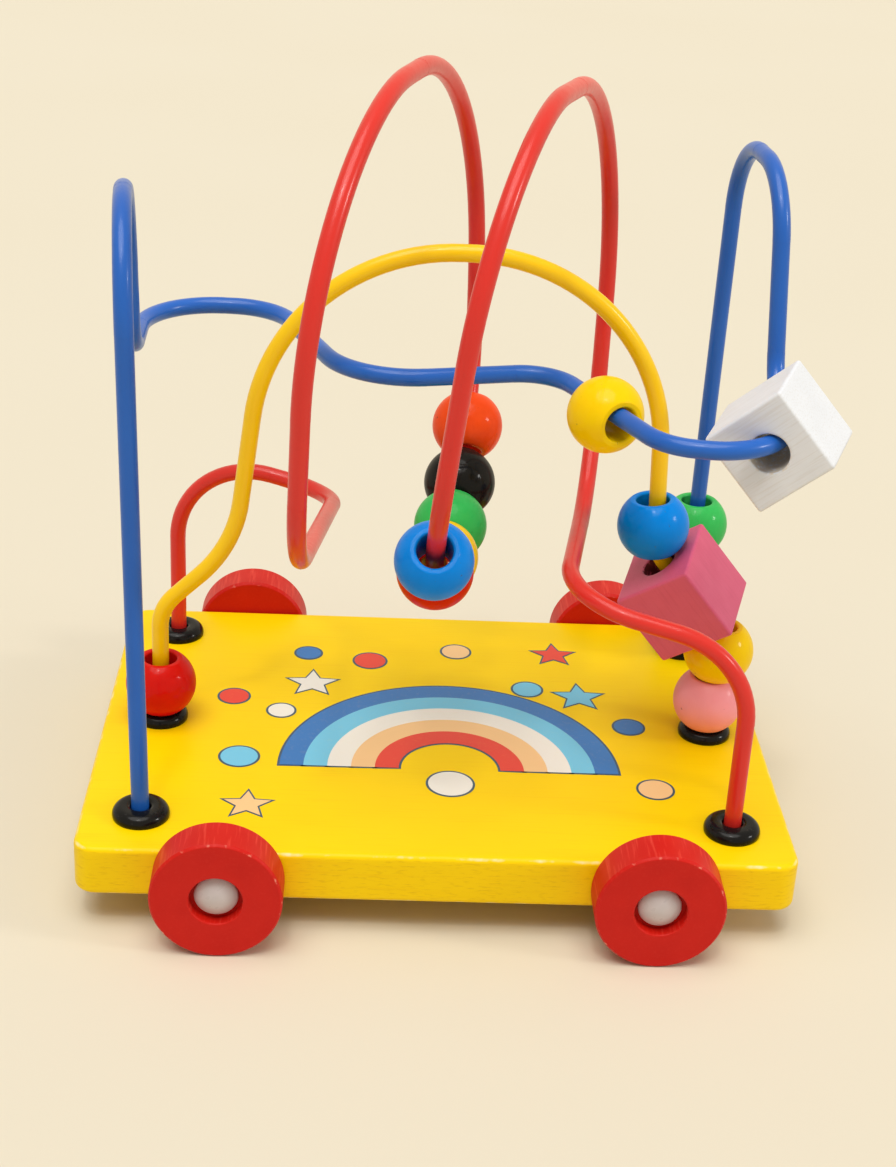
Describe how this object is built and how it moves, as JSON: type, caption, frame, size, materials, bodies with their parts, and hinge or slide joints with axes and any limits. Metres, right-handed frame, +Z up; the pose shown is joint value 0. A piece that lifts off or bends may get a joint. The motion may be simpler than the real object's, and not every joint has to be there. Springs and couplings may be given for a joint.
{
  "type": "bead maze",
  "caption": "Wheeled wooden bead maze: a yellow board on four red wheels with three bent coloured wires carrying round beads and cubes.",
  "frame": {"origin": "on the floor, under the middle of the board", "axes": "+X along the board to the right, +Y across it to the back, +Z up"},
  "size_m": [0.2064, 0.1705, 0.229],
  "materials": {
    "board_paint": "satin paint over plywood",
    "black_plastic": "gloss moulding",
    "wheel_paint": "satin paint over turned wood",
    "white_nylon": "translucent nylon",
    "blue_wire": "satin coating over steel",
    "red_wire": "satin coating over steel",
    "yellow_wire": "satin coating over steel",
    "orange_paint": "gloss lacquer",
    "black_paint": "gloss lacquer",
    "green_paint": "gloss lacquer",
    "yellow_paint": "gloss lacquer",
    "red_paint": "gloss lacquer",
    "blue_paint": "gloss lacquer",
    "white_paint": "thin matt wash",
    "pink_paint": "gloss lacquer",
    "magenta_paint": "satin paint"
  },
  "bodies": {
    "root": {"board": "board_paint", "ferrule_front_left": "black_plastic", "ferrule_front_right": "black_plastic", "ferrule_mid_left": "black_plastic", "ferrule_mid_right": "black_plastic", "ferrule_rear_left": "black_plastic", "ferrule_rear_right": "black_plastic", "wire_blue": "blue_wire", "wire_red": "red_wire", "wire_yellow": "yellow_wire", "pin_front_left": "white_nylon", "pin_front_right": "white_nylon", "pin_rear_left": "white_nylon", "pin_rear_right": "white_nylon"},
    "wheel_front_left": {"wheel_front_left": "wheel_paint"},
    "wheel_front_right": {"wheel_front_right": "wheel_paint"},
    "wheel_rear_left": {"wheel_rear_left": "wheel_paint"},
    "wheel_rear_right": {"wheel_rear_right": "wheel_paint"},
    "row_green": {"row_green": "green_paint"},
    "row_orange": {"row_orange": "orange_paint"},
    "row_black": {"row_black": "black_paint"},
    "row_yellow": {"row_yellow": "yellow_paint"},
    "row_red": {"row_red": "red_paint"},
    "row_blue": {"row_blue": "blue_paint"},
    "level_bead": {"level_bead": "yellow_paint"},
    "cube_white": {"cube_white": "white_paint"},
    "leg_low": {"leg_low": "blue_paint"},
    "leg_mid": {"leg_mid": "orange_paint"},
    "leg_top": {"leg_top": "green_paint"},
    "left_bead": {"left_bead": "red_paint"},
    "stack_pink": {"stack_pink": "pink_paint"},
    "stack_yellow": {"stack_yellow": "yellow_paint"},
    "cube_magenta": {"cube_magenta": "magenta_paint"},
    "stack_blue": {"stack_blue": "blue_paint"}
  },
  "joints": [
    {"name": "wheel_front_left_spin", "type": "hinge", "parent": "root", "child": "wheel_front_left", "pos_m": [-0.06, -0.079, 0.018], "axis": [0, 1, 0], "continuous": true},
    {"name": "wheel_front_right_spin", "type": "hinge", "parent": "root", "child": "wheel_front_right", "pos_m": [0.06, -0.079, 0.018], "axis": [0, 1, 0], "continuous": true},
    {"name": "wheel_rear_left_spin", "type": "hinge", "parent": "root", "child": "wheel_rear_left", "pos_m": [-0.06, 0.079, 0.018], "axis": [0, 1, 0], "continuous": true},
    {"name": "wheel_rear_right_spin", "type": "hinge", "parent": "root", "child": "wheel_rear_right", "pos_m": [0.06, 0.079, 0.018], "axis": [0, 1, 0], "continuous": true},
    {"name": "row_green_run", "type": "hinge", "parent": "root", "child": "row_green", "pos_m": [-0.00163, -0.01008, 0.15073], "axis": [-0.9857, 0.1647, -0.0361], "range_deg": [-8, 8]},
    {"name": "row_orange_run", "type": "hinge", "parent": "root", "child": "row_orange", "pos_m": [-0.00163, -0.01008, 0.15073], "axis": [-0.9857, 0.1647, -0.0361], "range_deg": [-8, 8]},
    {"name": "row_black_run", "type": "hinge", "parent": "root", "child": "row_black", "pos_m": [-0.00163, -0.01008, 0.15073], "axis": [-0.9857, 0.1647, -0.0361], "range_deg": [-8, 8]},
    {"name": "row_yellow_run", "type": "hinge", "parent": "root", "child": "row_yellow", "pos_m": [0.00536, -0.02103, 0.15009], "axis": [-0.9826, 0.1434, 0.1179], "range_deg": [-8, 8]},
    {"name": "row_red_run", "type": "hinge", "parent": "root", "child": "row_red", "pos_m": [0.00536, -0.02103, 0.15009], "axis": [-0.9826, 0.1434, 0.1179], "range_deg": [-8, 8]},
    {"name": "row_blue_run", "type": "hinge", "parent": "root", "child": "row_blue", "pos_m": [0.00536, -0.02103, 0.15009], "axis": [-0.9826, 0.1434, 0.1179], "range_deg": [-8, 8]},
    {"name": "level_bead_slide", "type": "slide", "parent": "root", "child": "level_bead", "axis": [0.4266, -0.9044, 0], "range_m": [-0.009, 0.011]},
    {"name": "cube_white_spin", "type": "hinge", "parent": "root", "child": "cube_white", "pos_m": [0.086, -0.0365, 0.1383], "axis": [0.3822, 0.9226, 0.0523], "continuous": true},
    {"name": "leg_low_slide", "type": "slide", "parent": "root", "child": "leg_low", "axis": [0.0055, 0, 1], "range_m": [0, 0.03]},
    {"name": "leg_mid_slide", "type": "slide", "parent": "leg_low", "child": "leg_mid", "axis": [0.0055, 0, 1], "range_m": [0, 0.03]},
    {"name": "leg_top_slide", "type": "slide", "parent": "leg_mid", "child": "leg_top", "axis": [0.0055, 0, 1], "range_m": [0, 0.03]},
    {"name": "left_bead_slide", "type": "slide", "parent": "root", "child": "left_bead", "axis": [0, 0, 1], "range_m": [0, 0.01]},
    {"name": "stack_pink_spin", "type": "hinge", "parent": "root", "child": "stack_pink", "pos_m": [0.083, 0, 0.03752], "axis": [0, 0, 1], "continuous": true},
    {"name": "stack_yellow_spin", "type": "hinge", "parent": "root", "child": "stack_yellow", "pos_m": [0.0844, 0, 0.05447], "axis": [0, 0, 1], "continuous": true},
    {"name": "cube_magenta_spin", "type": "hinge", "parent": "root", "child": "cube_magenta", "pos_m": [0.07134, -0.0012, 0.0739], "axis": [-0.6347, 0, 0.7728], "continuous": true},
    {"name": "stack_blue_slide", "type": "slide", "parent": "root", "child": "stack_blue", "axis": [-0.0459, 0, 0.9989], "range_m": [0, 0.015]}
  ],
  "couplings": [
    {"joint": "row_orange_run", "follows": "row_green_run", "ratio": 1},
    {"joint": "row_black_run", "follows": "row_green_run", "ratio": 1},
    {"joint": "row_yellow_run", "follows": "row_green_run", "ratio": 1},
    {"joint": "row_red_run", "follows": "row_green_run", "ratio": 1},
    {"joint": "row_blue_run", "follows": "row_green_run", "ratio": 1}
  ]
}
